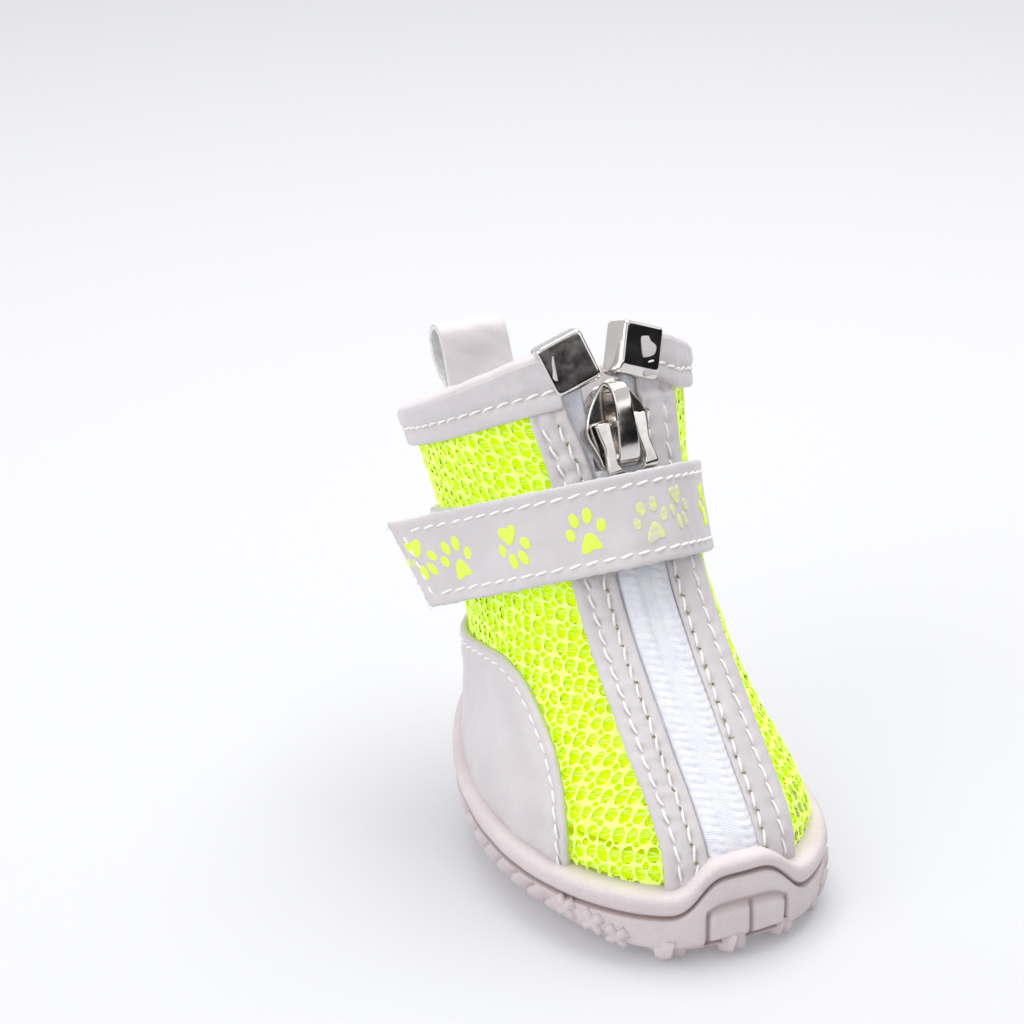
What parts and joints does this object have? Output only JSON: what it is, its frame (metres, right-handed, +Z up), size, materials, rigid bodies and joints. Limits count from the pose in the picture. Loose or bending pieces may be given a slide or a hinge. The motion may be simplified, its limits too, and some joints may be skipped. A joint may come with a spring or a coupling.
{
  "type": "dog boot",
  "caption": "Small dog boot: hollow mesh upper in a rubber cup sole with cross lugs, front zip between stitched plackets, wrap strap, heel counter, bound collar and rear pull loop.",
  "frame": {"origin": "on the ground, under the middle of the boot's bounding box", "axes": "+Z up, toe towards -Y, +Y towards the heel and the pull loop, +X to the right of someone facing the toe"},
  "size_m": [0.0542, 0.0945, 0.0822],
  "materials": {
    "rubber": "moulded rubber with a fine leather-like grain, warm light grey",
    "mesh": "open spacer mesh in fluorescent yellow-green",
    "leather": "satin synthetic leather, light warm grey, with white stitching",
    "zip_textile": "white woven zip tape and coil with a faint blue cast",
    "nickel": "polished dark nickel plate",
    "lining": "plain knitted lining, light grey"
  },
  "bodies": {
    "boot": {"outsole": "rubber", "upper": "mesh", "insole": "lining", "heel_counter": "leather", "collar_binding": "leather", "zip_chain": "zip_textile", "placket_left": "leather", "zip_tape_left": "zip_textile", "end_cap_left": "nickel", "placket_right": "leather", "zip_tape_right": "zip_textile", "end_cap_right": "nickel", "zip_slider": "nickel", "strap": "leather", "pull_loop": "leather"},
    "pull": {"pull_tab": "nickel"}
  },
  "joints": [
    {"name": "pull_tab_hinge", "type": "hinge", "parent": "boot", "child": "pull", "pos_m": [0.00208, -0.00852, 0.06973], "axis": [-1, 0, 0], "range_deg": [0, 3]}
  ]
}
